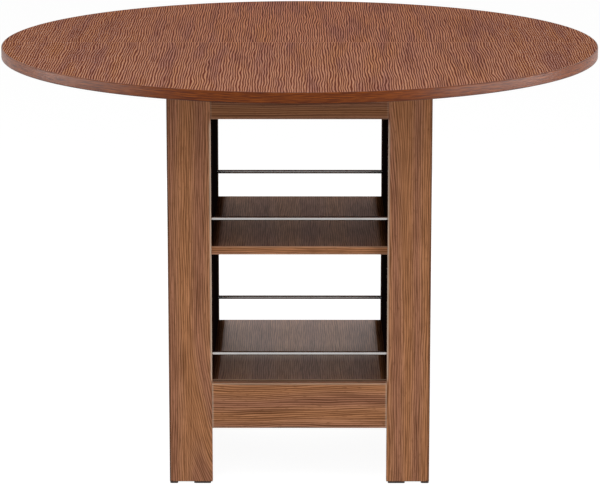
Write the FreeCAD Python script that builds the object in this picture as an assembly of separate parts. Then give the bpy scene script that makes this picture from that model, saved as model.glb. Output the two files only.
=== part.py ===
"""Round dining table on a square storage base with two open shelves.

Frame: millimetres, +Z up, +X to the right and +Y to the back, seen from the front.
The origin is on the floor, below the centre of the round top.

The top is two half discs that meet in a seam along X. The base is two hollow pillars, each made
of a front and a rear stile with an inner and an outer panel between them. Rails, aprons and two
shelves join the pillars, and steel rods run above the shelves along the front and the back.
"""
import FreeCAD
import Part
import os

# Whole table
table_height = 755.0
top_diameter = 1067.0
top_thickness = 19.0
base_width = 460.0
base_depth = 460.0

# Boards of the base
board_thickness = 15.0
stile_width = 76.0
rail_height = 80.0
apron_height = 82.0
apron_below_shelf = 3.5
panel_reveal = 1.4
edge_radius = 1.5

# Shelves
shelf_thickness = 15.0
lower_shelf_top = 187.0
upper_shelf_top = 428.0

# Edge strips
top_band_thickness = 2.0
top_band_radius = 1.5
shelf_band_thickness = 1.0
shelf_band_radius = 0.8
seam_radius = 0.4

# Gallery rods
rod_diameter = 7.0
rod_above_lower_shelf = 46.0
rod_above_upper_shelf = 48.5
rod_setback = 22.0
rod_hole_depth = 8.0
rod_end_gap = 0.5

# Dowels
dowel_diameter = 8.0
dowel_in_edge = 20.0
dowel_in_face = 10.0
dowel_bevel = 1.0
rail_dowel_inset = 20.0
shelf_dowel_inset = 60.0
pillar_dowel_inset = 110.0

# Cam locks and their bolts
cam_diameter = 15.0
cam_depth = 12.0
cam_distance = 24.0
cam_slot_length = 9.0
cam_slot_width = 1.8
cam_slot_depth = 2.5
bolt_diameter = 6.0
bolt_thread_diameter = 5.0
bolt_thread_length = 11.0
shelf_cam_inset = 110.0
rail_top_cam_offset = 70.0
panel_top_cam_offset = 110.0

# Seam of the top
seam_dowel_inner_offset = 80.0
seam_dowel_rim_inset = 33.5
plate_rim_gap = 73.5
plate_base_gap = 50.0
plate_length = 80.0
plate_width = 40.0
plate_thickness = 2.0
plate_corner_radius = 4.0
plate_hole_end_inset = 12.0
plate_hole_side_inset = 10.0
screw_length = 16.0
screw_diameter = 4.0
screw_head_diameter = 7.6
screw_head_height = 1.8

# Glides
glide_length = 30.0
glide_width = 14.0
glide_height = 3.0
glide_corner_radius = 3.0
glide_edge_inset = 0.5
glide_inner_inset = 3.0
nail_length = 15.0
nail_diameter = 1.8
nail_head_diameter = 4.0
nail_head_height = 0.8
nail_recess = 1.0
nail_spacing = 16.0

# Fit between a fastener or rod and its hole, on each side and at its end
hole_clearance = 0.1

# Two places closer than this are the same place
same_place = 0.001

half_turn = 180.0

# Worked out from the sizes above
top_radius = top_diameter / 2
board_radius = top_radius - top_band_thickness
top_underside = table_height - top_thickness
half_width = base_width / 2
half_depth = base_depth / 2
opening_half = half_width - stile_width
inner_face = opening_half + panel_reveal
inner_panel_middle = inner_face + board_thickness / 2
outer_panel_middle = half_width - board_thickness / 2
panel_half_depth = half_depth - board_thickness
front_board_middle = half_depth - board_thickness / 2
rail_bottom = top_underside - rail_height
apron_top = lower_shelf_top - apron_below_shelf
apron_bottom = apron_top - apron_height
rod_half_length = inner_face + rod_hole_depth - rod_end_gap

# Along the seam: a plate in the middle, one beside the base and one near the rim, and dowels between
plate_beside_base = half_width + plate_base_gap + plate_width / 2
plate_near_rim = top_radius - plate_rim_gap - plate_width / 2
plate_offsets = [0.0, plate_beside_base, plate_near_rim]
seam_dowel_offsets = [
    seam_dowel_inner_offset,
    (plate_beside_base + plate_near_rim) / 2,
    top_radius - seam_dowel_rim_inset,
]

SIDES = {"left": -1, "right": 1}
ENDS = {"front": -1, "rear": 1}
SHELF_TOPS = {"lower": lower_shelf_top, "upper": upper_shelf_top}
ROD_HEIGHTS = {
    "lower": lower_shelf_top + rod_above_lower_shelf,
    "upper": upper_shelf_top + rod_above_upper_shelf,
}

ALONG_X = FreeCAD.Vector(1, 0, 0)
ALONG_Y = FreeCAD.Vector(0, 1, 0)
UP = FreeCAD.Vector(0, 0, 1)

# Solids by node name, what is cut out of each, and groups of like fasteners by node name
boards = {}
cutters = {}
groups = {}


def block(x_span, y_span, z_span):
    """A box between two values along each axis, given in either order."""
    x_low, x_high = sorted(x_span)
    y_low, y_high = sorted(y_span)
    z_low, z_high = sorted(z_span)
    corner = FreeCAD.Vector(x_low, y_low, z_low)
    return Part.makeBox(x_high - x_low, y_high - y_low, z_high - z_low, corner)


def bar(start, direction, length, diameter):
    """A round bar from a point along a direction."""
    return Part.makeCylinder(diameter / 2, length, start, direction)


def rounded(shape, radius, chosen):
    """Rounds the edges whose middle point passes a test."""
    edges = [edge for edge in shape.Edges if chosen(edge.CenterOfMass)]
    return shape.makeFillet(radius, edges)


def at(value, target):
    """Whether a coordinate is at a place."""
    return abs(value - target) < same_place


def cut_out(name, cutter):
    """Notes a hole or pocket to be cut out of a named board."""
    cutters.setdefault(name, []).append(cutter)


def add_to_group(name, solid):
    """Adds one fastener to a group of like fasteners."""
    groups.setdefault(name, []).append(solid)


# Top

def half_disc(radius, end):
    """A half disc as thick as the top, in front of the seam or behind it."""
    centre = FreeCAD.Vector(0, 0, top_underside)
    half = Part.makeCylinder(radius, top_thickness, centre, UP, half_turn)
    if end == ENDS["front"]:
        half.rotate(FreeCAD.Vector(), UP, half_turn)
    return half


def top_half(end):
    """One half of the round top, with its upper edge eased along the seam."""
    half = half_disc(board_radius, end)
    return rounded(half, seam_radius, lambda middle: at(middle.y, 0) and at(middle.z, table_height))


def top_edge_band(end):
    """The bent strip round one half of the top, with both of its outer edges rounded."""
    ring = half_disc(top_radius, end).cut(half_disc(board_radius, end))

    # Of the half circles, the two outer ones have their middles farthest from the seam
    farthest = max(abs(edge.CenterOfMass.y) for edge in ring.Edges)
    return rounded(ring, top_band_radius, lambda middle: at(abs(middle.y), farthest))


def make_top():
    """Both halves of the top and their edge strips."""
    for end_name, end in ENDS.items():
        boards["top_half_" + end_name] = top_half(end)
        boards["top_edge_band_" + end_name] = top_edge_band(end)


# Pillars

def stile(side, end):
    """A front or rear board of a pillar, rounded round its show face but for the top."""
    board = block(
        (side * opening_half, side * half_width),
        (end * panel_half_depth, end * half_depth),
        (glide_height, top_underside),
    )
    return rounded(
        board,
        edge_radius,
        lambda middle: at(middle.y, end * half_depth) and not at(middle.z, top_underside),
    )


def inner_panel(side):
    """The board of a pillar that faces the shelves. It stops level with the aprons."""
    return block(
        (side * inner_face, side * (inner_face + board_thickness)),
        (-panel_half_depth, panel_half_depth),
        (apron_bottom, top_underside),
    )


def outer_panel(side):
    """The board on the outside of a pillar, down to the glides."""
    return block(
        (side * (half_width - board_thickness), side * half_width),
        (-panel_half_depth, panel_half_depth),
        (glide_height, top_underside),
    )


def pillar_spacer(side, bottom):
    """A flat board between the panels of a pillar, which keeps them square."""
    return block(
        (side * (inner_face + board_thickness), side * (half_width - board_thickness)),
        (-panel_half_depth, panel_half_depth),
        (bottom, bottom + board_thickness),
    )


def make_pillars():
    """The boards of both pillars."""
    for side_name, side in SIDES.items():
        boards["inner_panel_" + side_name] = inner_panel(side)
        boards["outer_panel_" + side_name] = outer_panel(side)
        boards["pillar_spacer_bottom_" + side_name] = pillar_spacer(side, apron_bottom)
        boards["pillar_spacer_top_" + side_name] = pillar_spacer(side, top_underside - board_thickness)
        for end_name, end in ENDS.items():
            boards["stile_" + end_name + "_" + side_name] = stile(side, end)


# Boards between the pillars

def cross_board(end, bottom, top):
    """A rail or apron between two stiles, flush with them."""
    return block(
        (-opening_half, opening_half),
        (end * panel_half_depth, end * half_depth),
        (bottom, top),
    )


def top_rail(end):
    """The rail under the top, with both of its lower edges rounded."""
    board = cross_board(end, rail_bottom, top_underside)
    return rounded(board, edge_radius, lambda middle: at(middle.x, 0) and at(middle.z, rail_bottom))


def apron(end):
    """The board in front of the lower shelf, rounded but for the edge that meets the shelf."""
    board = cross_board(end, apron_bottom, apron_top)

    def free_edge(middle):
        meets_shelf = at(middle.y, end * panel_half_depth) and at(middle.z, apron_top)
        return at(middle.x, 0) and not meets_shelf

    return rounded(board, edge_radius, free_edge)


def shelf(top):
    """A shelf board between the inner panels, without its edge strips."""
    board_half_depth = panel_half_depth - shelf_band_thickness
    return block(
        (-inner_face, inner_face),
        (-board_half_depth, board_half_depth),
        (top - shelf_thickness, top),
    )


def shelf_band(end, top):
    """The strip on the front or rear edge of a shelf, with its outer edges rounded."""
    strip = block(
        (-inner_face, inner_face),
        (end * (panel_half_depth - shelf_band_thickness), end * panel_half_depth),
        (top - shelf_thickness, top),
    )
    return rounded(
        strip,
        shelf_band_radius,
        lambda middle: at(middle.x, 0) and at(middle.y, end * panel_half_depth),
    )


def make_cross_boards():
    """Rails, aprons and shelves."""
    for end_name, end in ENDS.items():
        boards["top_rail_" + end_name] = top_rail(end)
        boards["apron_" + end_name] = apron(end)
    for level, top in SHELF_TOPS.items():
        boards[level + "_shelf"] = shelf(top)
        for end_name, end in ENDS.items():
            boards[level + "_shelf_band_" + end_name] = shelf_band(end, top)


# Gallery rods

def gallery_rod(level, end_name):
    """A steel rod above a shelf, with both ends in blind holes of the inner panels."""
    centre = FreeCAD.Vector(0, ENDS[end_name] * (half_depth - rod_setback), ROD_HEIGHTS[level])
    start = centre - ALONG_X * rod_half_length
    boards["rod_" + level + "_" + end_name] = bar(start, ALONG_X, 2 * rod_half_length, rod_diameter)
    for side_name, side in SIDES.items():
        mouth = centre + ALONG_X * (side * inner_face)
        hole = bar(mouth, ALONG_X * side, rod_hole_depth, rod_diameter + 2 * hole_clearance)
        cut_out("inner_panel_" + side_name, hole)


def make_rods():
    """The four gallery rods."""
    for level in ROD_HEIGHTS:
        for end_name in ENDS:
            gallery_rod(level, end_name)


# Dowels

def dowel(group, joint, direction, back, forward, names):
    """A wood dowel across a joint, and its hole in the boards on both sides.

    joint is a point on the joint face. The dowel reaches back from it and forward along direction.
    """
    length = back + forward
    start = joint - direction * back
    pin = bar(start, direction, length, dowel_diameter)
    ends = [edge for edge in pin.Edges if isinstance(edge.Curve, Part.Circle)]
    add_to_group(group, pin.makeChamfer(dowel_bevel, ends))
    hole = bar(
        start - direction * hole_clearance,
        direction,
        length + 2 * hole_clearance,
        dowel_diameter + 2 * hole_clearance,
    )
    for name in names:
        cut_out(name, hole)


def make_seam_dowels():
    """Dowels across the seam of the top, at half of its thickness."""
    half_length = (dowel_in_edge + dowel_in_face) / 2
    middle = table_height - top_thickness / 2
    names = ["top_half_front", "top_half_rear"]
    for offset in seam_dowel_offsets:
        for side in SIDES.values():
            joint = FreeCAD.Vector(side * offset, 0, middle)
            dowel("seam_dowels", joint, ALONG_Y, half_length, half_length, names)


def make_rail_dowels():
    """Two dowels at each end of every rail and apron, into the edge of the stile."""
    half_length = (dowel_in_edge + dowel_in_face) / 2
    spans = {"top_rail_": (rail_bottom, top_underside), "apron_": (apron_bottom, apron_top)}
    for kind, (bottom, top) in spans.items():
        for end_name, end in ENDS.items():
            for side_name, side in SIDES.items():
                names = [kind + end_name, "stile_" + end_name + "_" + side_name]
                for height in (bottom + rail_dowel_inset, top - rail_dowel_inset):
                    joint = FreeCAD.Vector(side * opening_half, end * front_board_middle, height)
                    dowel("rail_dowels", joint, ALONG_X * side, half_length, half_length, names)


def make_shelf_dowels():
    """Two dowels at each end of every shelf, into the face of the inner panel."""
    for level, top in SHELF_TOPS.items():
        for side_name, side in SIDES.items():
            names = [level + "_shelf", "inner_panel_" + side_name]
            for end in ENDS.values():
                joint = FreeCAD.Vector(
                    side * inner_face,
                    end * (panel_half_depth - shelf_dowel_inset),
                    top - shelf_thickness / 2,
                )
                dowel("shelf_dowels", joint, ALONG_X * side, dowel_in_edge, dowel_in_face, names)


def make_pillar_dowels():
    """Three dowels in each upright edge of the panels, into the back of the stile."""
    panels = {
        "inner_panel_": (inner_panel_middle, apron_bottom),
        "outer_panel_": (outer_panel_middle, glide_height),
    }
    for kind, (middle, bottom) in panels.items():
        heights = (
            bottom + pillar_dowel_inset,
            (bottom + top_underside) / 2,
            top_underside - pillar_dowel_inset,
        )
        for side_name, side in SIDES.items():
            for end_name, end in ENDS.items():
                names = [kind + side_name, "stile_" + end_name + "_" + side_name]
                for height in heights:
                    joint = FreeCAD.Vector(side * middle, end * panel_half_depth, height)
                    dowel("pillar_dowels", joint, ALONG_Y * end, dowel_in_edge, dowel_in_face, names)


# Cam locks

def cam_joint(kind, joint, inward, outward, half_thickness, cam_board, bolt_board):
    """A bolt screwed into one board and drawn tight by a cam lock in another.

    joint is a point on the joint face, at half of the cam board's thickness. inward points from it
    into the cam board, and outward points out of the face that the cam is let into.
    """
    thread_start = joint - inward * bolt_thread_length
    thread = bar(thread_start, inward, bolt_thread_length, bolt_thread_diameter)
    shank = bar(joint, inward, cam_distance, bolt_diameter)
    add_to_group(kind + "_cam_bolts", thread.fuse(shank).removeSplitter())

    channel = bar(joint, inward, cam_distance + hole_clearance, bolt_diameter + 2 * hole_clearance)
    centre = joint + inward * cam_distance + outward * half_thickness
    lock = bar(centre, -outward, cam_depth, cam_diameter)
    lock = lock.cut(channel)
    lock = lock.cut(screwdriver_slot(centre, inward, outward))
    add_to_group(kind + "_cam_locks", lock)

    pocket = bar(centre, -outward, cam_depth + hole_clearance, cam_diameter + 2 * hole_clearance)
    thread_hole = bar(
        thread_start - inward * hole_clearance,
        inward,
        bolt_thread_length + hole_clearance,
        bolt_thread_diameter + 2 * hole_clearance,
    )
    cut_out(cam_board, channel)
    cut_out(cam_board, pocket)
    cut_out(bolt_board, thread_hole)


def screwdriver_slot(centre, along, outward):
    """A straight slot in the face of a cam lock."""
    half_along = along * (cam_slot_length / 2)
    half_across = along.cross(outward) * (cam_slot_width / 2)
    corner_signs = ((-1, -1), (1, -1), (1, 1), (-1, 1), (-1, -1))
    corners = [centre + half_along * a + half_across * b for a, b in corner_signs]
    return Part.Face(Part.makePolygon(corners)).extrude(-outward * cam_slot_depth)


def make_rail_cams():
    """A cam lock on the back of each end of every rail and apron."""
    middles = {"top_rail_": (rail_bottom + top_underside) / 2, "apron_": (apron_bottom + apron_top) / 2}
    for kind, height in middles.items():
        for end_name, end in ENDS.items():
            for side_name, side in SIDES.items():
                joint = FreeCAD.Vector(side * opening_half, end * front_board_middle, height)
                cam_joint(
                    "rail",
                    joint,
                    ALONG_X * -side,
                    ALONG_Y * -end,
                    board_thickness / 2,
                    kind + end_name,
                    "stile_" + end_name + "_" + side_name,
                )


def make_shelf_cams():
    """Two cam locks under each end of every shelf."""
    for level, top in SHELF_TOPS.items():
        for side_name, side in SIDES.items():
            for end in ENDS.values():
                joint = FreeCAD.Vector(
                    side * inner_face,
                    end * (panel_half_depth - shelf_cam_inset),
                    top - shelf_thickness / 2,
                )
                cam_joint(
                    "shelf",
                    joint,
                    ALONG_X * -side,
                    -UP,
                    shelf_thickness / 2,
                    level + "_shelf",
                    "inner_panel_" + side_name,
                )


def make_top_cams():
    """Bolts under the top, held by cam locks inside the rails and the inner panels."""
    for end_name, end in ENDS.items():
        top_name = "top_half_" + end_name
        rail_name = "top_rail_" + end_name
        for side_name, side in SIDES.items():
            panel_name = "inner_panel_" + side_name
            over_rail = FreeCAD.Vector(
                side * rail_top_cam_offset, end * front_board_middle, top_underside
            )
            over_panel = FreeCAD.Vector(
                side * inner_panel_middle, end * panel_top_cam_offset, top_underside
            )
            cam_joint(
                "top", over_rail, -UP, ALONG_Y * -end, board_thickness / 2, rail_name, top_name
            )
            cam_joint(
                "top", over_panel, -UP, ALONG_X * -side, board_thickness / 2, panel_name, top_name
            )


# Seam plates

def seam_plate(centre):
    """A flat steel plate with four countersunk holes, its upper face on the point given."""
    plate = block(
        (centre.x - plate_width / 2, centre.x + plate_width / 2),
        (centre.y - plate_length / 2, centre.y + plate_length / 2),
        (centre.z - plate_thickness, centre.z),
    )
    return rounded(
        plate,
        plate_corner_radius,
        lambda middle: at(middle.z, centre.z - plate_thickness / 2),
    )


def plate_screw(point, clearance):
    """A countersunk screw from a point on the lower face of a plate upwards, or its hole."""
    head_radius = screw_head_diameter / 2 + clearance
    shank_radius = screw_diameter / 2 + clearance
    head = Part.makeCone(head_radius, shank_radius, screw_head_height, point, UP)
    shank_length = screw_length - screw_head_height + clearance
    shank = bar(point + UP * screw_head_height, UP, shank_length, 2 * shank_radius)
    return head.fuse(shank).removeSplitter()


def make_seam_plates():
    """Steel plates under the seam of the top, each screwed to both halves."""
    across = plate_width / 2 - plate_hole_side_inset
    along = plate_length / 2 - plate_hole_end_inset
    centres = sorted({side * offset for side in SIDES.values() for offset in plate_offsets})
    for x in centres:
        plate = seam_plate(FreeCAD.Vector(x, 0, top_underside))
        for side in SIDES.values():
            for end_name, end in ENDS.items():
                point = FreeCAD.Vector(
                    x + side * across, end * along, top_underside - plate_thickness
                )
                hole = plate_screw(point, hole_clearance)
                plate = plate.cut(hole)
                cut_out("top_half_" + end_name, hole)
                add_to_group("seam_plate_screws", plate_screw(point, 0))
        add_to_group("seam_plates", plate)


# Glides

def glide(centre, x_length, y_length):
    """A small flat pad under the base, with its upright edges rounded."""
    pad = block(
        (centre.x - x_length / 2, centre.x + x_length / 2),
        (centre.y - y_length / 2, centre.y + y_length / 2),
        (0, glide_height),
    )
    return rounded(pad, glide_corner_radius, lambda middle: at(middle.z, glide_height / 2))


def glide_nail(point, clearance):
    """A nail driven up through a glide, or its hole."""
    bottom = FreeCAD.Vector(point.x, point.y, nail_recess)
    head = bar(bottom, UP, nail_head_height + clearance, nail_head_diameter + 2 * clearance)
    shank = bar(bottom, UP, nail_length + clearance, nail_diameter + 2 * clearance)
    return head.fuse(shank).removeSplitter()


def nailed_glide(centre, along, x_length, y_length, names):
    """A glide with two nails, each driven into the board above it."""
    pad = glide(centre, x_length, y_length)
    for sign, name in zip((1, -1), names):
        point = centre + along * (sign * nail_spacing / 2)
        hole = glide_nail(point, hole_clearance)
        mouth = bar(point, UP, nail_recess, nail_head_diameter + 2 * hole_clearance)
        pad = pad.cut([hole, mouth])
        cut_out(name, hole)
        add_to_group("glide_nails", glide_nail(point, 0))
    add_to_group("foot_glides", pad)


def make_glides():
    """Two glides under each corner of the base: along the stile, and along the outer panel."""
    for side_name, side in SIDES.items():
        for end_name, end in ENDS.items():
            stile_name = "stile_" + end_name + "_" + side_name
            inner_centre = FreeCAD.Vector(
                side * (opening_half + glide_inner_inset + glide_length / 2),
                end * (half_depth - glide_edge_inset - glide_width / 2),
                0,
            )
            nailed_glide(inner_centre, ALONG_X, glide_length, glide_width, [stile_name, stile_name])
            outer_centre = FreeCAD.Vector(
                side * (half_width - glide_edge_inset - glide_width / 2),
                end * (half_depth - glide_edge_inset - glide_length / 2),
                0,
            )
            names = [stile_name, "outer_panel_" + side_name]
            nailed_glide(outer_centre, ALONG_Y * end, glide_width, glide_length, names)


def write_parts():
    """Cuts the holes and writes one STEP file for each node."""
    os.makedirs("parts", exist_ok=True)
    for name, tools in cutters.items():
        boards[name] = boards[name].cut(tools)
    for name, solid in boards.items():
        solid.exportStep("parts/" + name + ".step")
    for name, solids in groups.items():
        Part.makeCompound(solids).exportStep("parts/" + name + ".step")


make_top()
make_pillars()
make_cross_boards()
make_rods()
make_seam_dowels()
make_rail_dowels()
make_shelf_dowels()
make_pillar_dowels()
make_rail_cams()
make_shelf_cams()
make_top_cams()
make_seam_plates()
make_glides()
write_parts()
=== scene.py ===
"""Finish of a round dining table on a square storage base with two open shelves.

Lengths are in metres. +Z is up, +X to the right and +Y to the back, seen from the front. The
boards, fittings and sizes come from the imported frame. This file adds smoother meshes for the
halves of the round top, their edge strips and the rods, and every surface finish and the stage.
"""
import math
from typing import NamedTuple

import bmesh
import bpy
from bpy.props import FloatProperty, FloatVectorProperty, IntProperty, PointerProperty
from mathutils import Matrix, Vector


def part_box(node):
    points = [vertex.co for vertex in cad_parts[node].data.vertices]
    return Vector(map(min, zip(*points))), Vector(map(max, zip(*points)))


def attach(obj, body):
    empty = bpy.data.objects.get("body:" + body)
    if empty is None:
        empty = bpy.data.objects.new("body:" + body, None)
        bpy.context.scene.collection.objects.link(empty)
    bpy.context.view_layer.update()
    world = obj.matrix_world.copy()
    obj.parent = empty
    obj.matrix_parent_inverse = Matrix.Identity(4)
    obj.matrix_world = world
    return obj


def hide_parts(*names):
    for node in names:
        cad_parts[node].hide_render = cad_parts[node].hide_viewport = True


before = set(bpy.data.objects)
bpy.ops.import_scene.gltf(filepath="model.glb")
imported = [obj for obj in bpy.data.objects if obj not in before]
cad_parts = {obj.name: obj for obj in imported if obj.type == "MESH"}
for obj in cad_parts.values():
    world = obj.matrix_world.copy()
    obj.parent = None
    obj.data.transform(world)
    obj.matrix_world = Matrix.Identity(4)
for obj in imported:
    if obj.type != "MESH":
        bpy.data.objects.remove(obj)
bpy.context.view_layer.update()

bl_info = {
    "name": "Round table on a storage base",
    "version": (1, 0, 0),
    "blender": (4, 5, 0),
    "location": "3D View > Sidebar > Table",
    "description": "Builds and finishes a round dining table on a storage base",
    "category": "Object",
}

BODY = "root"
ENDS = ("front", "rear")
SIDES = ("left", "right")
LEVELS = ("lower", "upper")
AXES = "XYZ"

# Edges that bend by more than this stay sharp
SMOOTH_ANGLE = math.radians(35.0)

# Pitch of the ripple in the grain, and how far the rear half's grain is from the front half's
TOP_RIPPLE = 0.0043
BOARD_RIPPLE = 0.0039
REAR_GRAIN_SHIFT = 0.9137

# How far the painted highlight on the seam reaches on each side, and how wide the painted
# highlights and shade along the edges of boards are
SEAM_HIGHLIGHT_REACH = 0.0035
HIGHLIGHT_ARRIS = 0.004
SHADED_ARRIS = 0.005

# How far past a stile's inner edge its heart lies, and how round the rings of a board are there
STILE_HEART = 0.004
HEART_ROUNDING = 0.006

# Where painted shade or a painted highlight starts and where it is full: along Y for the shade
# towards the rear of the top and the front of the shelves, along Z for the stiles' highlight
TOP_REAR_SHADE_SPAN = (-0.55, 0.55)
SHELF_FRONT_SHADE_SPAN = (0.05, -0.1)
STILE_HIGHLIGHT_BOTTOM = (0.18, 0.2)
STILE_HIGHLIGHT_TOP = (0.66, 0.64)

# The same for painted shade, measured up from the rim's bottom and in from a stile's outer side
RIM_LOWER_SHADE = (0.0022, 0.0006)
STILE_SHADED_SIDE = (0.006, 0.005)

# How far in from its ends the painted shade on a shelf starts
SHELF_END_SHADE = 0.026

# The floor: its reach, what it reflects to the table and to the eye, and its own white
FLOOR_REACH = 30.0
FLOOR_GREY = 0.55
FLOOR_SHADOW = 0.14
FLOOR_WHITE = 0.94

# What the lamps face, the width of the camera's sensor in millimetres, and how far the view goes
LAMP_TARGET = (0.0, 0.0, 0.45)
SENSOR_WIDTH = 36.0
VIEW_DEPTH = 100.0


# Settings

def length_setting(name, description, default):
    """A length in metres that a user may change."""
    return FloatProperty(name=name, description=description, default=default, min=0.0, unit="LENGTH")


def colour_setting(name, description, default):
    """A linear colour that a user may change."""
    return FloatVectorProperty(
        name=name, description=description, default=default, subtype="COLOR", size=3, min=0.0, max=1.0
    )


def share_setting(name, description, default):
    """A share from 0 to 1 that a user may change."""
    return FloatProperty(
        name=name, description=description, default=default, min=0.0, max=1.0, subtype="FACTOR"
    )


def power_setting(name, description, default):
    """The power of a lamp that a user may change."""
    return FloatProperty(name=name, description=description, default=default, min=0.0, unit="POWER")


class TableSizes(bpy.types.PropertyGroup):
    """Sizes of the pieces that are built here"""

    rim_rounding: length_setting("Rim rounding", "Radius along both edges of the rim", 0.0015)
    seam_easing: length_setting("Seam easing", "Radius along the seam of the top", 0.0004)
    rod_bevel: length_setting("Rod bevel", "Bevel at the ends of the rods", 0.0005)
    rim_steps: IntProperty(
        name="Rim steps", description="Flat steps round half of the rim", default=240, min=24
    )
    rounding_steps: IntProperty(
        name="Rounding steps", description="Flat steps across a rounded edge", default=5, min=1
    )
    rod_steps: IntProperty(
        name="Rod steps", description="Flat steps round a rod", default=48, min=12
    )


class TableColours(bpy.types.PropertyGroup):
    """Colours of the finishes"""

    top_dark: colour_setting("Top, dark grain", "Grooves of the top", (0.1, 0.013, 0.001))
    top_light: colour_setting("Top, light grain", "Ridges of the top", (0.428, 0.195, 0.109))
    top_warm: colour_setting("Top, warm tint", "Tints the top's orange streaks", (1.0, 0.96, 0.74))
    top_cool: colour_setting("Top, cool tint", "Tints the top's plum streaks", (0.77, 0.71, 0.84))
    # Painted shade: this tint deepens the top towards the rear to stand for how the light falls
    top_rear_shade: colour_setting("Top, rear tint", "Tints the top towards the rear", (0.91, 0.76, 0.6))
    board_dark: colour_setting("Boards, dark grain", "Dark lines of the base", (0.115, 0.043, 0.017))
    board_light: colour_setting("Boards, light grain", "Light lines of the base", (0.44, 0.203, 0.104))
    board_warm: colour_setting("Boards, warm tint", "Tints the golden bands", (1.0, 0.97, 0.86))
    board_cool: colour_setting("Boards, cool tint", "Tints the plum bands", (0.84, 0.81, 0.88))
    # This colour is a painted highlight along the rounded edges of the boards, not rubbed wear
    board_highlight: colour_setting("Boards, pale edge", "Rubbed edges of the boards", (0.42, 0.32, 0.24))
    rim_dark: colour_setting("Rim, dark grain", "Dark lines of the rim", (0.045, 0.006, 0.0006))
    rim_light: colour_setting("Rim, light grain", "Light lines of the rim", (0.172, 0.041, 0.004))
    black: colour_setting("Inner panels", "Black laminate of the inner panels", (0.009, 0.005, 0.0045))
    steel: colour_setting("Rods", "Polished steel", (0.46, 0.45, 0.44))
    zinc: colour_setting("Fittings", "Zinc-plated fittings", (0.5, 0.5, 0.49))
    glide: colour_setting("Glides", "Dark brown plastic", (0.02, 0.012, 0.008))
    beech: colour_setting("Dowels", "Bare beech", (0.55, 0.36, 0.2))
    raw_board: colour_setting("Raw board", "Bare pressed board", (0.38, 0.26, 0.15))


class StageSettings(bpy.types.PropertyGroup):
    """Camera and lamps"""

    camera_place: FloatVectorProperty(
        name="Camera", description="Place of the camera", default=(0.0081, -5.2301, 1.5616),
        subtype="XYZ", unit="LENGTH", size=3,
    )
    camera_tilt: FloatProperty(
        name="Tilt", description="How far the camera looks down", default=0.22103, subtype="ANGLE"
    )
    camera_turn: FloatProperty(
        name="Turn", description="How far the camera turns left", default=0.00143, subtype="ANGLE"
    )
    lens: FloatProperty(
        name="Lens", description="Focal length in millimetres", default=176.4, min=1.0
    )
    sky_light: share_setting("Sky light", "Strength of the soft light from all round", 0.27)
    front_power: power_setting("Front lamp", "Power of the lamp above the front", 56.0)
    face_power: power_setting("Face lamp", "Power of the lamp that faces the front", 22.0)
    left_power: power_setting("Left lamp", "Power of the lamp on the left", 68.0)
    right_power: power_setting("Right lamp", "Power of the lamp on the right", 102.0)
    back_power: power_setting("Back lamp", "Power of the lamp behind the table", 64.0)


# Shader nodes

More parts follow.
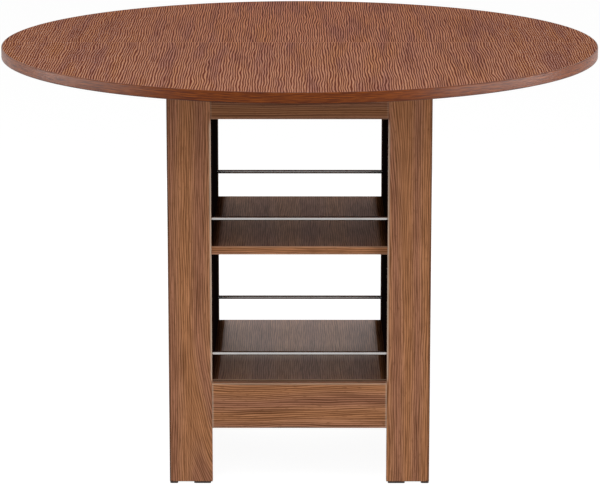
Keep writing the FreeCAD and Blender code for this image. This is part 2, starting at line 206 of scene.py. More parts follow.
class Shader:
    """Short calls that add nodes to one material."""

    def __init__(self, name, roughness, specular=0.5, metallic=0.0):
        self.material = bpy.data.materials.new(name)
        self.material.use_nodes = True
        self.nodes = self.material.node_tree.nodes
        self.links = self.material.node_tree.links
        self.surface = self.nodes["Principled BSDF"]
        self.surface.inputs["Roughness"].default_value = roughness
        self.surface.inputs["Specular IOR Level"].default_value = specular
        self.surface.inputs["Metallic"].default_value = metallic
        self.place = self.nodes.new("ShaderNodeTexCoord").outputs["Object"]

    def feed(self, socket, value):
        """Links an output to a socket, or writes a plain value into it."""
        if isinstance(value, bpy.types.NodeSocket):
            self.links.new(value, socket)
        else:
            socket.default_value = value

    def maths(self, operation, first, second=0.0, third=0.0):
        """One sum of one, two or three numbers."""
        node = self.nodes.new("ShaderNodeMath")
        node.operation = operation
        for socket, value in zip(node.inputs, (first, second, third)):
            self.feed(socket, value)
        return node.outputs[0]

    def parts(self, vector):
        """The three numbers of a vector."""
        node = self.nodes.new("ShaderNodeSeparateXYZ")
        self.feed(node.inputs[0], vector)
        return node.outputs

    def vector(self, x, y, z=0.0):
        """A vector of three numbers."""
        node = self.nodes.new("ShaderNodeCombineXYZ")
        for socket, value in zip(node.inputs, (x, y, z)):
            self.feed(socket, value)
        return node.outputs[0]

    def axis(self, name):
        """Where the shaded point lies along one axis."""
        return self.parts(self.place)[AXES.index(name)]

    def total(self, first, *others):
        """The sum of two or more numbers, added in order."""
        for other in others:
            first = self.maths("ADD", first, other)
        return first

    def product(self, first, *others):
        """The product of two or more numbers, multiplied in order."""
        for other in others:
            first = self.maths("MULTIPLY", first, other)
        return first

    def vector_maths(self, operation, first, second=(0.0, 0.0, 0.0)):
        """One sum of one or two vectors."""
        node = self.nodes.new("ShaderNodeVectorMath")
        node.operation = operation
        self.feed(node.inputs[0], first)
        self.feed(node.inputs[1], second)
        return node.outputs[0]

    def noise(self, vector, detail=2.0, roughness=0.5):
        """Cloudy noise from 0 to 1 that changes about once per unit of the vector."""
        node = self.nodes.new("ShaderNodeTexNoise")
        self.feed(node.inputs["Vector"], vector)
        node.inputs["Scale"].default_value = 1.0
        node.inputs["Detail"].default_value = detail
        node.inputs["Roughness"].default_value = roughness
        return node.outputs[0]

    def scaled_noise(self, vector, per_metre, detail=2.0):
        """Noise that changes so many times in a metre along each axis."""
        return self.noise(self.vector_maths("MULTIPLY", vector, per_metre), detail)

    def flat_noise(self, first, second, per_unit, detail=1.0, roughness=0.5):
        """Noise over two numbers, that changes so many times per unit of each."""
        first = self.product(first, per_unit[0])
        second = self.product(second, per_unit[1])
        return self.noise(self.vector(first, second), detail, roughness)

    def between(self, value, low, high):
        """How far a value is from low to high, as a smooth share from 0 to 1."""
        node = self.nodes.new("ShaderNodeMapRange")
        node.interpolation_type = "SMOOTHSTEP"
        self.feed(node.inputs["Value"], value)
        node.inputs["From Min"].default_value = low
        node.inputs["From Max"].default_value = high
        return node.outputs[0]

    def mixed(self, share, first, second, blend="MIX"):
        """Two colours mixed by a share."""
        node = self.nodes.new("ShaderNodeMix")
        node.data_type = "RGBA"
        node.blend_type = blend
        self.feed(node.inputs["Factor"], share)
        self.feed(node.inputs["A"], colour(first))
        self.feed(node.inputs["B"], colour(second))
        return node.outputs["Result"]

    def finish(self, base, roughness, height, relief):
        """Gives the surface its colour, roughness and bump."""
        self.feed(self.surface.inputs["Base Color"], base)
        self.feed(self.surface.inputs["Roughness"], roughness)
        bump = self.nodes.new("ShaderNodeBump")
        bump.inputs["Distance"].default_value = relief
        self.feed(bump.inputs["Height"], height)
        self.links.new(bump.outputs[0], self.surface.inputs["Normal"])
        return self.material


def colour(value):
    """A colour with its alpha, unless it is a node's output."""
    if isinstance(value, bpy.types.NodeSocket):
        return value
    return (*value[:3], 1.0)


def shaded(value, share):
    """A plain colour made darker."""
    return tuple(part * share for part in value)


def ripple(s, flat, per_metre, size):
    """Noise about zero, as wide as size, that changes so many times in a metre on each axis."""
    centred = s.maths("SUBTRACT", s.scaled_noise(flat, (*per_metre, 1.0), 1.0), 0.5)
    return s.product(centred, 2.0 * size)


def arris(s, low, high, width):
    """1 along the edges of a board, and 0 further than the width from them."""
    middle = (low + high) / 2
    from_middle = s.vector_maths("ABSOLUTE", s.vector_maths("SUBTRACT", s.place, middle))
    x, y, z = s.parts(s.vector_maths("SUBTRACT", high - middle, from_middle))
    least = s.maths("MINIMUM", s.maths("MINIMUM", x, y), z)
    most = s.maths("MAXIMUM", s.maths("MAXIMUM", x, y), z)
    second = s.maths("SUBTRACT", s.maths("SUBTRACT", s.total(x, y, z), least), most)
    return s.between(second, width, 0.0)


def top_finish(colours):
    """Satin walnut laminate with embossed, rippled grain from front to back."""
    s = Shader("walnut_top", 0.62, specular=0.03)
    y = s.axis("Y")

    # Each half has its own grain, along Y, which ripples sideways
    rear = s.maths("GREATER_THAN", y, 0.0)
    x = s.maths("MULTIPLY_ADD", rear, REAR_GRAIN_SHIFT, s.axis("X"))
    flat = s.vector(x, y)
    sway = s.total(ripple(s, flat, (5.0, 4.0), 0.004), ripple(s, flat, (32.0, 17.0), 0.0019))
    across = s.total(x, sway)
    phase = s.product(s.scaled_noise(flat, (70.0, 8.0, 1.0), 1.0), 10.0)
    wave = s.maths("SINE", s.maths("MULTIPLY_ADD", across, 2.0 * math.pi / TOP_RIPPLE, phase))
    lines = s.flat_noise(across, y, (470.0, 13.0), 2.0, 0.6)
    grain = s.between(s.maths("MULTIPLY_ADD", wave, 0.33, lines), 0.27, 0.79)
    base = s.mixed(grain, colours.top_dark, colours.top_light)

    # Orange and plum streaks, painted shade towards the rear, and a painted highlight on the seam
    orange = s.flat_noise(across, y, (22.0, 2.6), 1.5)
    base = s.mixed(s.between(orange, 0.45, 0.7), base, colours.top_warm, "MULTIPLY")
    plum_place = s.vector(s.product(across, 38.0), s.maths("MULTIPLY_ADD", y, 3.0, 7.0))
    plum = s.noise(plum_place, 1.5)
    base = s.mixed(s.between(plum, 0.45, 0.7), base, colours.top_cool, "MULTIPLY")
    # Painted shade, deeper and more saturated towards the rear
    base = s.mixed(s.between(y, *TOP_REAR_SHADE_SPAN), base, colours.top_rear_shade, "MULTIPLY")
    # Painted highlight along the seam
    seam = s.between(s.maths("ABSOLUTE", y), SEAM_HIGHLIGHT_REACH, 0.0)
    base = s.mixed(s.product(seam, 0.35), base, colours.top_light)
    rough = s.maths("MULTIPLY_ADD", grain, -0.1, 0.68)
    return s.finish(base, rough, grain, relief=0.0002)


def rim_finish(colours, bottom):
    """Walnut edge strip with its grain along the rim, and painted shade along its lower edge."""
    s = Shader("walnut_top_edge", 0.4, specular=0.17)
    z = s.axis("Z")
    turn = s.maths("ARCTAN2", s.axis("Y"), s.axis("X"))
    sway = s.flat_noise(turn, z, (9.0, 60.0))
    height = s.maths("MULTIPLY_ADD", sway, 0.003, z)
    coarse = s.between(s.flat_noise(turn, height, (5.0, 480.0)), 0.3, 0.7)
    fine = s.between(s.flat_noise(turn, height, (18.0, 800.0), 2.0, 0.6), 0.38, 0.62)
    grain = s.maths("MULTIPLY_ADD", coarse, 0.4, s.product(fine, 0.6))
    base = s.mixed(grain, colours.rim_dark, colours.rim_light)
    # Painted shade along the lower edge of the rim
    starts, full = RIM_LOWER_SHADE
    under = s.between(z, bottom + starts, bottom + full)
    base = s.mixed(s.product(under, 0.7), base, shaded(colours.rim_dark, 0.4))
    rough = s.maths("MULTIPLY_ADD", grain, -0.06, 0.4)
    return s.finish(base, rough, grain, relief=0.00006)


class Cut(NamedTuple):
    """How a board was cut from the log.

    along and across are the axes of its grain. heart is where the middle of the growth rings lies
    across the board, arch is where the lines start to bend towards it, and bend is how fast, upwards
    of there or, where it is negative, downwards. reach is how far from the heart lines still bend.
    band is the width of a pair of light and dark bands, and first is where a light one lies,
    measured from the heart. contrast is how much the fine lines differ, sway how far they wander and
    breaks how often they break off. Each seed picks another stretch of wood.
    """

    along: str
    across: str
    heart: float
    arch: float
    bend: float
    seed: float
    reach: float = 0.05
    band: float = 0.038
    first: float = 0.008
    contrast: float = 1.0
    sway: float = 1.0
    breaks: float = 4.0


class Look(NamedTuple):
    """How a board looks apart from its grain.

    shade darkens both of its colours, and on the rails and the lower shelf strips it paints shade.
    specular is its gloss, and relief is the height of its grain. edge_highlight is how strong the
    painted highlight along its edges is. On a stile, shaded_side is how far out along X its outer side
    lies, where its edges get painted shade instead. On a shelf, front_shade is how strong the painted
    shade towards the front is, and its ends get painted shade as well.
    """

    shade: float = 1.0
    specular: float = 0.1
    relief: float = 0.00008
    edge_highlight: float = 0.0
    shaded_side: float | None = None
    front_shade: float | None = None


class Lie(NamedTuple):
    """Where the shaded point lies in the grain of its board, as outputs of nodes.

    length is how far along the grain it is, and sideways how far from the heart. onward is how far
    the arches have moved the lines there. near is 1 where lines bend and 0 where they run straight.
    """

    length: bpy.types.NodeSocket
    sideways: bpy.types.NodeSocket
    onward: bpy.types.NodeSocket
    near: bpy.types.NodeSocket


def grain_lie(s, cut, low):
    """Where the shaded point lies in the grain, which turns over onto the edges of the board."""
    length = s.axis(cut.along)
    (thick,) = set(AXES) - {cut.along, cut.across}
    depth = s.maths("SUBTRACT", s.axis(thick), low[AXES.index(thick)])
    width = s.total(s.axis(cut.across), depth)
    flat = s.vector(s.total(width, cut.seed), s.total(length, cut.seed))
    slow_sway = ripple(s, flat, (12.0, 3.5), 0.003 * cut.sway)
    quick_sway = ripple(s, flat, (70.0, 15.0), 0.0005 * cut.sway)
    from_heart = s.total(s.maths("SUBTRACT", width, cut.heart), s.total(slow_sway, quick_sway))
    rounded = s.maths("MULTIPLY_ADD", from_heart, from_heart, HEART_ROUNDING ** 2)
    sideways = s.maths("SQRT", rounded)
    past_arch = s.product(s.maths("SUBTRACT", length, cut.arch), math.copysign(1.0, cut.bend))
    past_arch = s.maths("MAXIMUM", past_arch, 0.0)
    onward = s.product(past_arch, past_arch, abs(cut.bend))
    near = s.between(sideways, cut.reach, 0.3 * cut.reach)
    return Lie(length, sideways, onward, near)


def fine_lines(s, across, length, breaks):
    """Fine grain lines about zero: a regular ripple among uneven streaks."""
    length = s.product(length, breaks)
    phase = s.product(s.flat_noise(across, length, (60.0, 2.5)), 12.0)
    wave = s.maths("MULTIPLY_ADD", across, 2.0 * math.pi / BOARD_RIPPLE, phase)
    fine = s.flat_noise(across, length, (300.0, 4.0), 2.0, 0.6)
    coarse = s.flat_noise(across, length, (110.0, 1.7))
    streaks = s.maths("MULTIPLY_ADD", coarse, 0.4, s.maths("SUBTRACT", fine, 0.7))
    return s.maths("MULTIPLY_ADD", s.maths("SINE", wave), 0.2, streaks)


def pore_noise(s, across, length):
    """Noise in short dashes along the grain."""
    return s.flat_noise(across, length, (550.0, 70.0))


def along_arches(s, lie, seed, pattern, *settings):
    """A pattern that follows the arches near the heart and runs straight further out."""
    straight = pattern(s, s.total(lie.sideways, seed), lie.length, *settings)
    leaning = pattern(s, s.total(lie.sideways, lie.onward, seed), lie.length, *settings)
    return s.maths("MULTIPLY_ADD", s.maths("SUBTRACT", leaning, straight), lie.near, straight)


def broad_bands(s, base, cut, lie, colours):
    """Golden and plum bands over a colour, along the growth rings."""
    ring = s.maths("MULTIPLY_ADD", lie.onward, lie.near, lie.sideways)
    drift = s.flat_noise(s.total(ring, cut.seed), lie.length, (26.0, 2.0), 2.0)
    turn = s.product(s.maths("SUBTRACT", ring, cut.first), 2.0 * math.pi / cut.band)
    band = s.maths("COSINE", s.maths("MULTIPLY_ADD", s.maths("SUBTRACT", drift, 0.5), 4.0, turn))
    base = s.mixed(s.between(band, 0.0, 1.0), base, colours.board_warm, "MULTIPLY")
    return s.mixed(s.between(band, 0.1, -1.0), base, colours.board_cool, "MULTIPLY")


def edge_highlights_and_shade(s, base, low, high, look, colours):
    """A board's colour with a painted highlight along its edges.

    On a stile the painted highlight lies only between two heights, and its outer side gets painted
    shade.
    """
    # Painted highlight along the board's edges
    pale = s.product(arris(s, low, high, HIGHLIGHT_ARRIS), look.edge_highlight)
    if look.shaded_side is not None:
        z = s.axis("Z")
        highlit_heights = s.product(s.between(z, *STILE_HIGHLIGHT_BOTTOM), s.between(z, *STILE_HIGHLIGHT_TOP))
        starts, full = STILE_SHADED_SIDE
        from_middle = s.maths("ABSOLUTE", s.axis("X"))
        side = s.between(from_middle, look.shaded_side - starts, look.shaded_side - full)
        pale = s.product(pale, highlit_heights, s.maths("SUBTRACT", 1.0, side))
        # Painted shade along the edges at the stile's outer side
        dark = s.product(arris(s, low, high, SHADED_ARRIS), side, 0.75)
        base = s.mixed(dark, base, shaded(colours.board_dark, 0.3))
    return s.mixed(pale, base, colours.board_highlight)


def painted_shelf_shade(s, base, half_width, look):
    """Paints shade on a shelf towards both ends and the front, darkening its colour and its gloss
    there.
    """
    from_middle = s.maths("ABSOLUTE", s.axis("X"))
    ends = s.product(s.between(from_middle, half_width - SHELF_END_SHADE, half_width), 0.85)
    front = s.product(s.between(s.axis("Y"), *SHELF_FRONT_SHADE_SPAN), look.front_shade)
    dim = s.maths("MAXIMUM", ends, front)
    gloss = s.maths("MULTIPLY_ADD", dim, -2.0 * look.specular, look.specular)
    s.feed(s.surface.inputs["Specular IOR Level"], s.maths("MAXIMUM", gloss, 0.0))
    return s.mixed(dim, base, (0.0, 0.0, 0.0))


def board_finish(node, cut, look, colours):
    """Walnut laminate on a board, with fine lines, broad bands and long arches in its grain."""
    low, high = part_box(node)
    dark = shaded(colours.board_dark, look.shade)
    light = shaded(colours.board_light, look.shade)
    s = Shader("walnut_" + node, 0.5, specular=look.specular)
    lie = grain_lie(s, cut, low)
    lines = along_arches(s, lie, cut.seed, fine_lines, cut.breaks)
    grain = s.between(s.maths("MULTIPLY_ADD", lines, cut.contrast, 0.5), 0.0, 1.0)
    base = broad_bands(s, s.mixed(grain, dark, light), cut, lie, colours)
    pores = s.between(along_arches(s, lie, cut.seed, pore_noise), 0.6, 0.72)
    base = s.mixed(s.product(pores, 0.4 * cut.contrast), base, dark)
    base = edge_highlights_and_shade(s, base, low, high, look, colours)
    # Painted shade towards the front and the ends of a shelf
    if look.front_shade is not None:
        base = painted_shelf_shade(s, base, high.x, look)
    rough = s.maths("MULTIPLY_ADD", grain, -0.08, 0.54)
    return s.finish(base, rough, grain, look.relief)


def plain_finish(
    name, base, roughness, specular=0.5, metallic=0.0, coarse=40.0, fine=900.0, depth=0.12,
    relief=0.00002, edge_tint=1.0,
):
    """One colour with slight cloudiness, uneven gloss and a fine surface."""
    s = Shader(name, roughness, specular, metallic)
    s.surface.inputs["Specular Tint"].default_value = (edge_tint, edge_tint, edge_tint, 1.0)
    cloud = s.scaled_noise(s.place, (coarse, coarse, coarse), 3.0)
    speck = s.scaled_noise(s.place, (fine, fine, fine))
    darker = tuple(c * (1.0 - depth) for c in base)
    lighter = tuple(min(1.0, c * (1.0 + depth)) for c in base)
    tone = s.mixed(s.between(cloud, 0.3, 0.7), darker, lighter)
    rough = s.maths("MULTIPLY_ADD", s.maths("SUBTRACT", speck, 0.5), 0.12, roughness)
    return s.finish(tone, rough, speck, relief)


# Pieces

def add_piece(mesh_data, name, nodes, material):
    """Turns a bmesh into a piece that rides on the table and stands for CAD nodes."""
    mesh = bpy.data.meshes.new(name)
    bmesh.ops.recalc_face_normals(mesh_data, faces=mesh_data.faces)
    mesh_data.to_mesh(mesh)
    mesh_data.free()
    mesh.materials.append(material)
    mesh.shade_smooth()
    mesh.set_sharp_from_angle(angle=SMOOTH_ANGLE)
    piece = bpy.data.objects.new(name, mesh)
    bpy.context.scene.collection.objects.link(piece)
    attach(piece, BODY)
    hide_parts(*nodes)


def dress(node, material):
    """Gives a CAD node its finish."""
    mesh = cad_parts[node].data
    mesh.materials.clear()
    mesh.materials.append(material)


def join_rings(mesh_data, rings):
    """Makes faces between neighbouring rings of points, and one across each end."""
    for ring, following in zip(rings, rings[1:]):
        for i in range(len(ring)):
            j = (i + 1) % len(ring)
            mesh_data.faces.new((ring[i], ring[j], following[j], following[i]))
    mesh_data.faces.new(rings[0])
    mesh_data.faces.new(reversed(rings[-1]))


def swept_strip(mesh_data, section, directions):
    """Sweeps a closed section of (radius, height) points round a list of directions."""
    rings = []
    for direction in directions:
        rings.append([mesh_data.verts.new((direction.x * r, direction.y * r, z)) for r, z in section])
    join_rings(mesh_data, rings)


def half_circle(end, steps):
    """Directions from one end of the seam to the other, round the front or the rear."""
    start = math.pi if end == "front" else 0.0
    return [
        Vector((math.cos(start + math.pi * i / steps), math.sin(start + math.pi * i / steps)))
        for i in range(steps + 1)
    ]


def quarter_arc(centre, radius, start, steps):
    """Points (radius, height) on a quarter circle from an angle in quarter turns."""
    return [
        (
            centre[0] + radius * math.cos((start + i / steps) * math.pi / 2),
            centre[1] + radius * math.sin((start + i / steps) * math.pi / 2),
        )
        for i in range(steps + 1)
    ]


def make_top_half(end, sizes, material):
    """A half disc with its upper edge eased along the seam."""
    node = "top_half_" + end
    low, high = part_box(node)
    radius = high.x
    mesh_data = bmesh.new()
    outline = [direction * radius for direction in half_circle(end, sizes.rim_steps)]
    lower = [mesh_data.verts.new((p.x, p.y, low.z)) for p in outline]
    upper = [mesh_data.verts.new((p.x, p.y, high.z)) for p in outline]
    mesh_data.faces.new(lower)
    mesh_data.faces.new(upper)
    for i in range(len(outline)):
        j = (i + 1) % len(outline)
        mesh_data.faces.new((lower[i], lower[j], upper[j], upper[i]))
    seam = mesh_data.edges.get((upper[0], upper[-1]))
    bmesh.ops.bevel(
        mesh_data, geom=[seam], offset=sizes.seam_easing, segments=2, affect="EDGES", profile=0.5
    )
    add_piece(mesh_data, node + "_board", [node], material)


def make_top_band(end, sizes, material):
    """The bent strip round half of the top, with its outer edges rounded."""
    node = "top_edge_band_" + end
    low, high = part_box(node)
    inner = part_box("top_half_" + end)[1].x
    outer = high.x
    rounding = sizes.rim_rounding
    steps = sizes.rounding_steps
    section = [(inner, low.z)]
    section += quarter_arc((outer - rounding, low.z + rounding), rounding, -1, steps)
    section += quarter_arc((outer - rounding, high.z - rounding), rounding, 0, steps)
    section += [(inner, high.z)]
    mesh_data = bmesh.new()
    swept_strip(mesh_data, section, half_circle(end, sizes.rim_steps))
    add_piece(mesh_data, node + "_strip", [node], material)


def make_rod(level, end, sizes, material):
    """A bright round rod with bevelled ends."""
    node = "rod_" + level + "_" + end
    low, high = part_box(node)
    centre = (low + high) / 2
    radius = (high.z - low.z) / 2
    bevel = sizes.rod_bevel
    profile = [
        (low.x, radius - bevel),
        (low.x + bevel, radius),
        (high.x - bevel, radius),
        (high.x, radius - bevel),
    ]
    mesh_data = bmesh.new()
    turns = [2.0 * math.pi * i / sizes.rod_steps for i in range(sizes.rod_steps)]
    rings = []
    for x, r in profile:
        points = [(x, centre.y + r * math.cos(turn), centre.z + r * math.sin(turn)) for turn in turns]
        rings.append([mesh_data.verts.new(point) for point in points])
    join_rings(mesh_data, rings)
    add_piece(mesh_data, node + "_bar", [node], material)


# Operators

class MakeTop(bpy.types.Operator):
    """Builds both halves of the round top"""

    bl_idname = "storage_table.make_top"
    bl_label = "Top"

    def execute(self, context):
        material = top_finish(context.scene.table_colours)
        for end in ENDS:
            make_top_half(end, context.scene.table_sizes, material)
        return {"FINISHED"}


class MakeRim(bpy.types.Operator):
    """Builds the bent edge strips round the top"""

    bl_idname = "storage_table.make_rim"
    bl_label = "Rim"

    def execute(self, context):
        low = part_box("top_edge_band_front")[0]
        material = rim_finish(context.scene.table_colours, low.z)
        for end in ENDS:
            make_top_band(end, context.scene.table_sizes, material)
        return {"FINISHED"}


class MakeRods(bpy.types.Operator):
    """Builds the steel rods above the shelves"""

    bl_idname = "storage_table.make_rods"
    bl_label = "Rods"

    def execute(self, context):
        material = plain_finish(
            "polished_steel", context.scene.table_colours.steel, 0.2, metallic=1.0, fine=500.0,
            depth=0.04, relief=0.000002, edge_tint=0.1,
        )
        for level in LEVELS:
            for end in ENDS:
                make_rod(level, end, context.scene.table_sizes, material)
        return {"FINISHED"}


class FinishStiles(bpy.types.Operator):
    """Finishes the four upright boards at the corners"""

    bl_idname = "storage_table.finish_stiles"
    bl_label = "Stiles"

    def execute(self, context):
        for end in ENDS:
            for side in SIDES:
                node = "stile_" + end + "_" + side
                low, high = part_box(node)
                seed = 3.1 + SIDES.index(side) + 5.7 * ENDS.index(end)
                if side == "left":
                    cut = Cut(
                        "Z", "X", heart=high.x + STILE_HEART, arch=0.31, bend=-0.65, seed=seed,
                        reach=0.06, band=0.05, first=0.049,
                    )
                else:
                    cut = Cut(
                        "Z", "X", heart=low.x - STILE_HEART, arch=0.3, bend=0.13, seed=seed,
                        band=0.033, first=0.006,
                    )
                # edge_highlight paints a highlight along the stile's edges, and shaded_side paints
                # shade at its outer side
                look = Look(shade=0.94, edge_highlight=1.0, shaded_side=max(abs(low.x), abs(high.x)))
                dress(node, board_finish(node, cut, look, context.scene.table_colours))
        return {"FINISHED"}


class FinishOuterPanels(bpy.types.Operator):
    """Finishes the outer sides of both pillars"""

    bl_idname = "storage_table.finish_outer_panels"
    bl_label = "Outer panels"

    def execute(self, context):
        for side in SIDES:
            node = "outer_panel_" + side
            cut = Cut(
                "Z", "Y", heart=-0.03, arch=0.1, bend=0.35, seed=11.3 + SIDES.index(side),
                reach=0.15, band=0.06,
            )
            dress(node, board_finish(node, cut, Look(), context.scene.table_colours))
        return {"FINISHED"}


class FinishInnerPanels(bpy.types.Operator):
    """Finishes the black inner sides of both pillars"""

    bl_idname = "storage_table.finish_inner_panels"
    bl_label = "Inner panels"

    def execute(self, context):
        colours = context.scene.table_colours
        black = plain_finish("black_panel", colours.black, 0.7, specular=0.0, depth=0.3)
        for side in SIDES:
            dress("inner_panel_" + side, black)
        return {"FINISHED"}


class FinishRails(bpy.types.Operator):
    """Finishes the rails under the top"""

    bl_idname = "storage_table.finish_rails"
    bl_label = "Rails"

    def execute(self, context):
        for end in ENDS:
            node = "top_rail_" + end
            cut = Cut(
                "X", "Z", heart=0.9, arch=0.5, bend=0.02, seed=21.7 + ENDS.index(end), band=0.045,
                breaks=1.0,
            )
            # shade=0.63 paints the shade that the overhanging top casts on the rails, and
            # edge_highlight a highlight along their edges
            look = Look(shade=0.63, edge_highlight=0.15)
            dress(node, board_finish(node, cut, look, context.scene.table_colours))
        return {"FINISHED"}


class FinishAprons(bpy.types.Operator):
    """Finishes the aprons under the lower shelf"""

    bl_idname = "storage_table.finish_aprons"
    bl_label = "Aprons"

    def execute(self, context):
        for end in ENDS:
            node = "apron_" + end
            cut = Cut(
                "X", "Z", heart=0.2, arch=0.9, bend=0.02, seed=27.1 + ENDS.index(end), band=0.05,
                first=0.075, contrast=1.3, sway=3.0, breaks=2.0,
            )
            # edge_highlight paints a highlight along the aprons' edges
            look = Look(shade=0.88, edge_highlight=0.5)
            dress(node, board_finish(node, cut, look, context.scene.table_colours))
        return {"FINISHED"}


class FinishShelves(bpy.types.Operator):
    """Finishes both shelves"""

    bl_idname = "storage_table.finish_shelves"
    bl_label = "Shelves"

    def execute(self, context):
        seeds = (34.28, 33.95)
        # front_shade paints shade towards the front of each shelf, and its ends get painted shade
        # beside the inner panels
        looks = (
            Look(shade=0.8, specular=0.49, relief=0.0003, front_shade=0.46),
            Look(shade=0.74, specular=0.02, relief=0.0003, front_shade=0.12),
        )
        for level, seed, look in zip(LEVELS, seeds, looks):
            node = level + "_shelf"
            cut = Cut("Y", "X", heart=0.9, arch=0.9, bend=0.02, seed=seed, band=0.09, contrast=0.8)
            dress(node, board_finish(node, cut, look, context.scene.table_colours))
        return {"FINISHED"}


class FinishShelfStrips(bpy.types.Operator):
    """Finishes the edge strips of the shelves"""

    bl_idname = "storage_table.finish_shelf_strips"
    bl_label = "Edge strips of the shelves"

    def execute(self, context):
        # The lower strips' shade of 0.25 is painted shade for the gap just above the aprons; the upper
        # strips' is their own tone
        for level, shade in zip(LEVELS, (0.25, 0.98)):
            for end in ENDS:
                node = level + "_shelf_band_" + end
                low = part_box(node)[0]
                cut = Cut("X", "Z", heart=low.z - 0.3, arch=0.9, bend=0.02, seed=41.0 + shade)
                # edge_highlight paints a highlight along the strips' edges
                look = Look(shade=shade, edge_highlight=0.25)
                dress(node, board_finish(node, cut, look, context.scene.table_colours))
        return {"FINISHED"}


class FinishFittings(bpy.types.Operator):
    """Finishes the cam locks, bolts, plates, screws and nails"""

    bl_idname = "storage_table.finish_fittings"
    bl_label = "Metal fittings"

    def execute(self, context):
        zinc = context.scene.table_colours.zinc
        cast = plain_finish("zinc_casting", zinc, 0.45, metallic=1.0)
        plated = plain_finish("plated_steel", zinc, 0.3, metallic=1.0)
        for kind in ("rail", "shelf", "top"):
            dress(kind + "_cam_locks", cast)
            dress(kind + "_cam_bolts", plated)
        for node in ("seam_plates", "seam_plate_screws", "glide_nails"):
            dress(node, plated)
        return {"FINISHED"}


class FinishHiddenWood(bpy.types.Operator):
    """Finishes the dowels and the spacers inside the pillars"""

    bl_idname = "storage_table.finish_hidden_wood"
    bl_label = "Dowels and spacers"

    def execute(self, context):
        colours = context.scene.table_colours
        beech = plain_finish("beech", colours.beech, 0.7, specular=0.3, coarse=200.0)
        raw = plain_finish("raw_board", colours.raw_board, 0.85, specular=0.2, coarse=300.0)
        for node in ("seam_dowels", "rail_dowels", "shelf_dowels", "pillar_dowels"):
            dress(node, beech)
        for side in SIDES:
            dress("pillar_spacer_bottom_" + side, raw)
            dress("pillar_spacer_top_" + side, raw)
        return {"FINISHED"}


class FinishGlides(bpy.types.Operator):
    """Finishes the pads under the base"""

    bl_idname = "storage_table.finish_glides"
    bl_label = "Glides"

    def execute(self, context):
        glide = context.scene.table_colours.glide
        dress("foot_glides", plain_finish("glide_plastic", glide, 0.5, specular=0.4))
        return {"FINISHED"}


class MakeStage(bpy.types.Operator):
    """Sets up the floor, the lamps and the camera"""

    bl_idname = "storage_table.make_stage"
    bl_label = "Stage"

    def execute(self, context):
        stage = context.scene.table_stage
        make_floor()
        make_sky(context.scene, stage.sky_light)
        make_lamp("front_lamp", (-0.3, -1.9, 3.25), (1.8, 1.8), stage.front_power, mirrored=False)
        make_lamp("left_lamp", (-3.0, -0.4, 0.65), (3.0, 1.3), stage.left_power)
        make_lamp("right_lamp", (2.9, -0.8, 0.65), (3.0, 1.3), stage.right_power)
        make_lamp("back_lamp", (0.0, 2.4, 1.0), (3.2, 1.6), stage.back_power, mirrored=False)
        make_lamp("face_lamp", (-0.3, -3.0, 2.0), (1.8, 1.0), stage.face_power, mirrored=False)
        make_camera(context.scene, stage)
        context.scene.view_settings.view_transform = "Standard"
        return {"FINISHED"}


def seen_share(tree):
    """1 for rays from the camera, reflections and glass, and 0 for the others."""
    path = tree.nodes.new("ShaderNodeLightPath")
    share = path.outputs["Is Camera Ray"]
    for other in ("Is Glossy Ray", "Is Transmission Ray"):
        node = tree.nodes.new("ShaderNodeMath")
        node.operation = "MAXIMUM"
        tree.links.new(share, node.inputs[0])
        tree.links.new(path.outputs[other], node.inputs[1])
        share = node.outputs[0]
    return share


def make_floor():
    """A wide white floor that still takes the shadow of the table."""
    mesh_data = bmesh.new()
    bmesh.ops.create_circle(mesh_data, cap_ends=True, segments=96, radius=FLOOR_REACH)
    mesh = bpy.data.meshes.new("floor")
    mesh_data.to_mesh(mesh)
    mesh_data.free()
    floor = bpy.data.objects.new("floor", mesh)
    bpy.context.scene.collection.objects.link(floor)
    material = bpy.data.materials.new("floor_white")
    material.use_nodes = True
    tree = material.node_tree
    tree.nodes.clear()
    output = tree.nodes.new("ShaderNodeOutputMaterial")
    matt = tree.nodes.new("ShaderNodeBsdfDiffuse")
    matt.inputs["Color"].default_value = (FLOOR_GREY, FLOOR_GREY, FLOOR_GREY, 1.0)
    faint = tree.nodes.new("ShaderNodeBsdfDiffuse")
    faint.inputs["Color"].default_value = (FLOOR_SHADOW, FLOOR_SHADOW, FLOOR_SHADOW, 1.0)
    glow = tree.nodes.new("ShaderNodeEmission")
    glow.inputs["Strength"].default_value = FLOOR_WHITE
    seen = tree.nodes.new("ShaderNodeAddShader")
    tree.links.new(faint.outputs[0], seen.inputs[0])
    tree.links.new(glow.outputs[0], seen.inputs[1])
    mix = tree.nodes.new("ShaderNodeMixShader")
    tree.links.new(seen_share(tree), mix.inputs[0])
    tree.links.new(matt.outputs[0], mix.inputs[1])
    tree.links.new(seen.outputs[0], mix.inputs[2])
    tree.links.new(mix.outputs[0], output.inputs["Surface"])
    mesh.materials.append(material)


def make_sky(scene, strength):
    """White all round to the eye and in reflections, and a softer light on the table."""
    world = bpy.data.worlds.new("sky")
    scene.world = world
    world.use_nodes = True
    tree = world.node_tree
    tree.nodes.clear()
    output = tree.nodes.new("ShaderNodeOutputWorld")
    light = tree.nodes.new("ShaderNodeBackground")
    light.inputs["Strength"].default_value = strength
    white = tree.nodes.new("ShaderNodeBackground")
    for background in (light, white):
        background.inputs["Color"].default_value = (1.0, 1.0, 1.0, 1.0)
    mix = tree.nodes.new("ShaderNodeMixShader")
    tree.links.new(seen_share(tree), mix.inputs[0])
    tree.links.new(light.outputs[0], mix.inputs[1])
    tree.links.new(white.outputs[0], mix.inputs[2])
    tree.links.new(mix.outputs[0], output.inputs["Surface"])


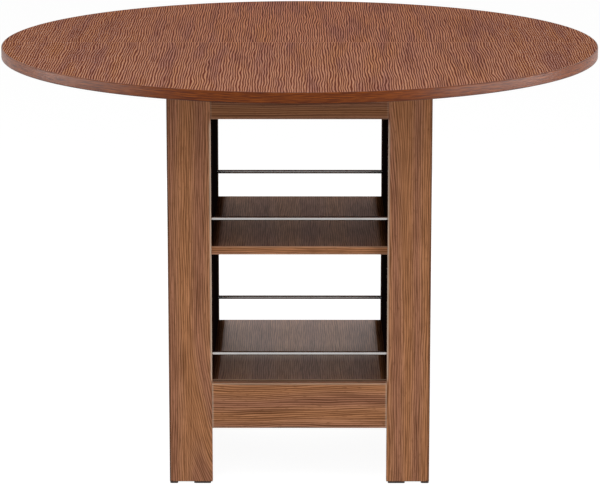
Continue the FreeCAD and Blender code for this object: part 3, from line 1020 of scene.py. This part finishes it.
def make_lamp(name, place, size, power, mirrored=True):
    """A softbox, as wide and as high as its size, that faces the table.

    Shiny pieces show it only where it is mirrored.
    """
    light = bpy.data.lights.new(name, "AREA")
    light.shape = "RECTANGLE"
    light.size, light.size_y = size
    light.energy = power
    lamp = bpy.data.objects.new(name, light)
    lamp.location = place
    towards = Vector(LAMP_TARGET) - lamp.location
    lamp.rotation_euler = towards.to_track_quat("-Z", "Y").to_euler()
    lamp.visible_camera = False
    lamp.visible_glossy = mirrored
    bpy.context.scene.collection.objects.link(lamp)


def make_camera(scene, stage):
    """The camera, level from side to side and looking down at the table."""
    data = bpy.data.cameras.new("camera")
    data.lens = stage.lens
    data.sensor_width = SENSOR_WIDTH
    data.clip_end = VIEW_DEPTH
    camera = bpy.data.objects.new("camera", data)
    camera.location = stage.camera_place
    camera.rotation_euler = (math.pi / 2 - stage.camera_tilt, 0.0, stage.camera_turn)
    scene.collection.objects.link(camera)
    scene.camera = camera


class TablePanel(bpy.types.Panel):
    """Lists the steps that build the table"""

    bl_idname = "STORAGE_TABLE_PT_steps"
    bl_label = "Table"
    bl_space_type = "VIEW_3D"
    bl_region_type = "UI"
    bl_category = "Table"

    def draw(self, context):
        for step in STEPS:
            self.layout.operator(step.bl_idname)
        scene = context.scene
        for settings in (scene.table_sizes, scene.table_colours, scene.table_stage):
            box = self.layout.box()
            for name in settings.__annotations__:
                box.prop(settings, name)


STEPS = (
    MakeTop, MakeRim, MakeRods, FinishStiles, FinishOuterPanels, FinishInnerPanels, FinishRails,
    FinishAprons, FinishShelves, FinishShelfStrips, FinishFittings, FinishHiddenWood, FinishGlides,
    MakeStage,
)
CLASSES = (TableSizes, TableColours, StageSettings, *STEPS, TablePanel)


def register():
    """Registers the classes and the settings."""
    for cls in CLASSES:
        bpy.utils.register_class(cls)
    bpy.types.Scene.table_sizes = PointerProperty(type=TableSizes)
    bpy.types.Scene.table_colours = PointerProperty(type=TableColours)
    bpy.types.Scene.table_stage = PointerProperty(type=StageSettings)


def unregister():
    """Removes the settings and the classes."""
    del bpy.types.Scene.table_stage
    del bpy.types.Scene.table_colours
    del bpy.types.Scene.table_sizes
    for cls in reversed(CLASSES):
        bpy.utils.unregister_class(cls)


def main():
    """Builds the table step by step."""
    register()
    bpy.ops.storage_table.make_top()
    bpy.ops.storage_table.make_rim()
    bpy.ops.storage_table.make_rods()
    bpy.ops.storage_table.finish_stiles()
    bpy.ops.storage_table.finish_outer_panels()
    bpy.ops.storage_table.finish_inner_panels()
    bpy.ops.storage_table.finish_rails()
    bpy.ops.storage_table.finish_aprons()
    bpy.ops.storage_table.finish_shelves()
    bpy.ops.storage_table.finish_shelf_strips()
    bpy.ops.storage_table.finish_fittings()
    bpy.ops.storage_table.finish_hidden_wood()
    bpy.ops.storage_table.finish_glides()
    bpy.ops.storage_table.make_stage()


if __name__ == "__main__":
    main()
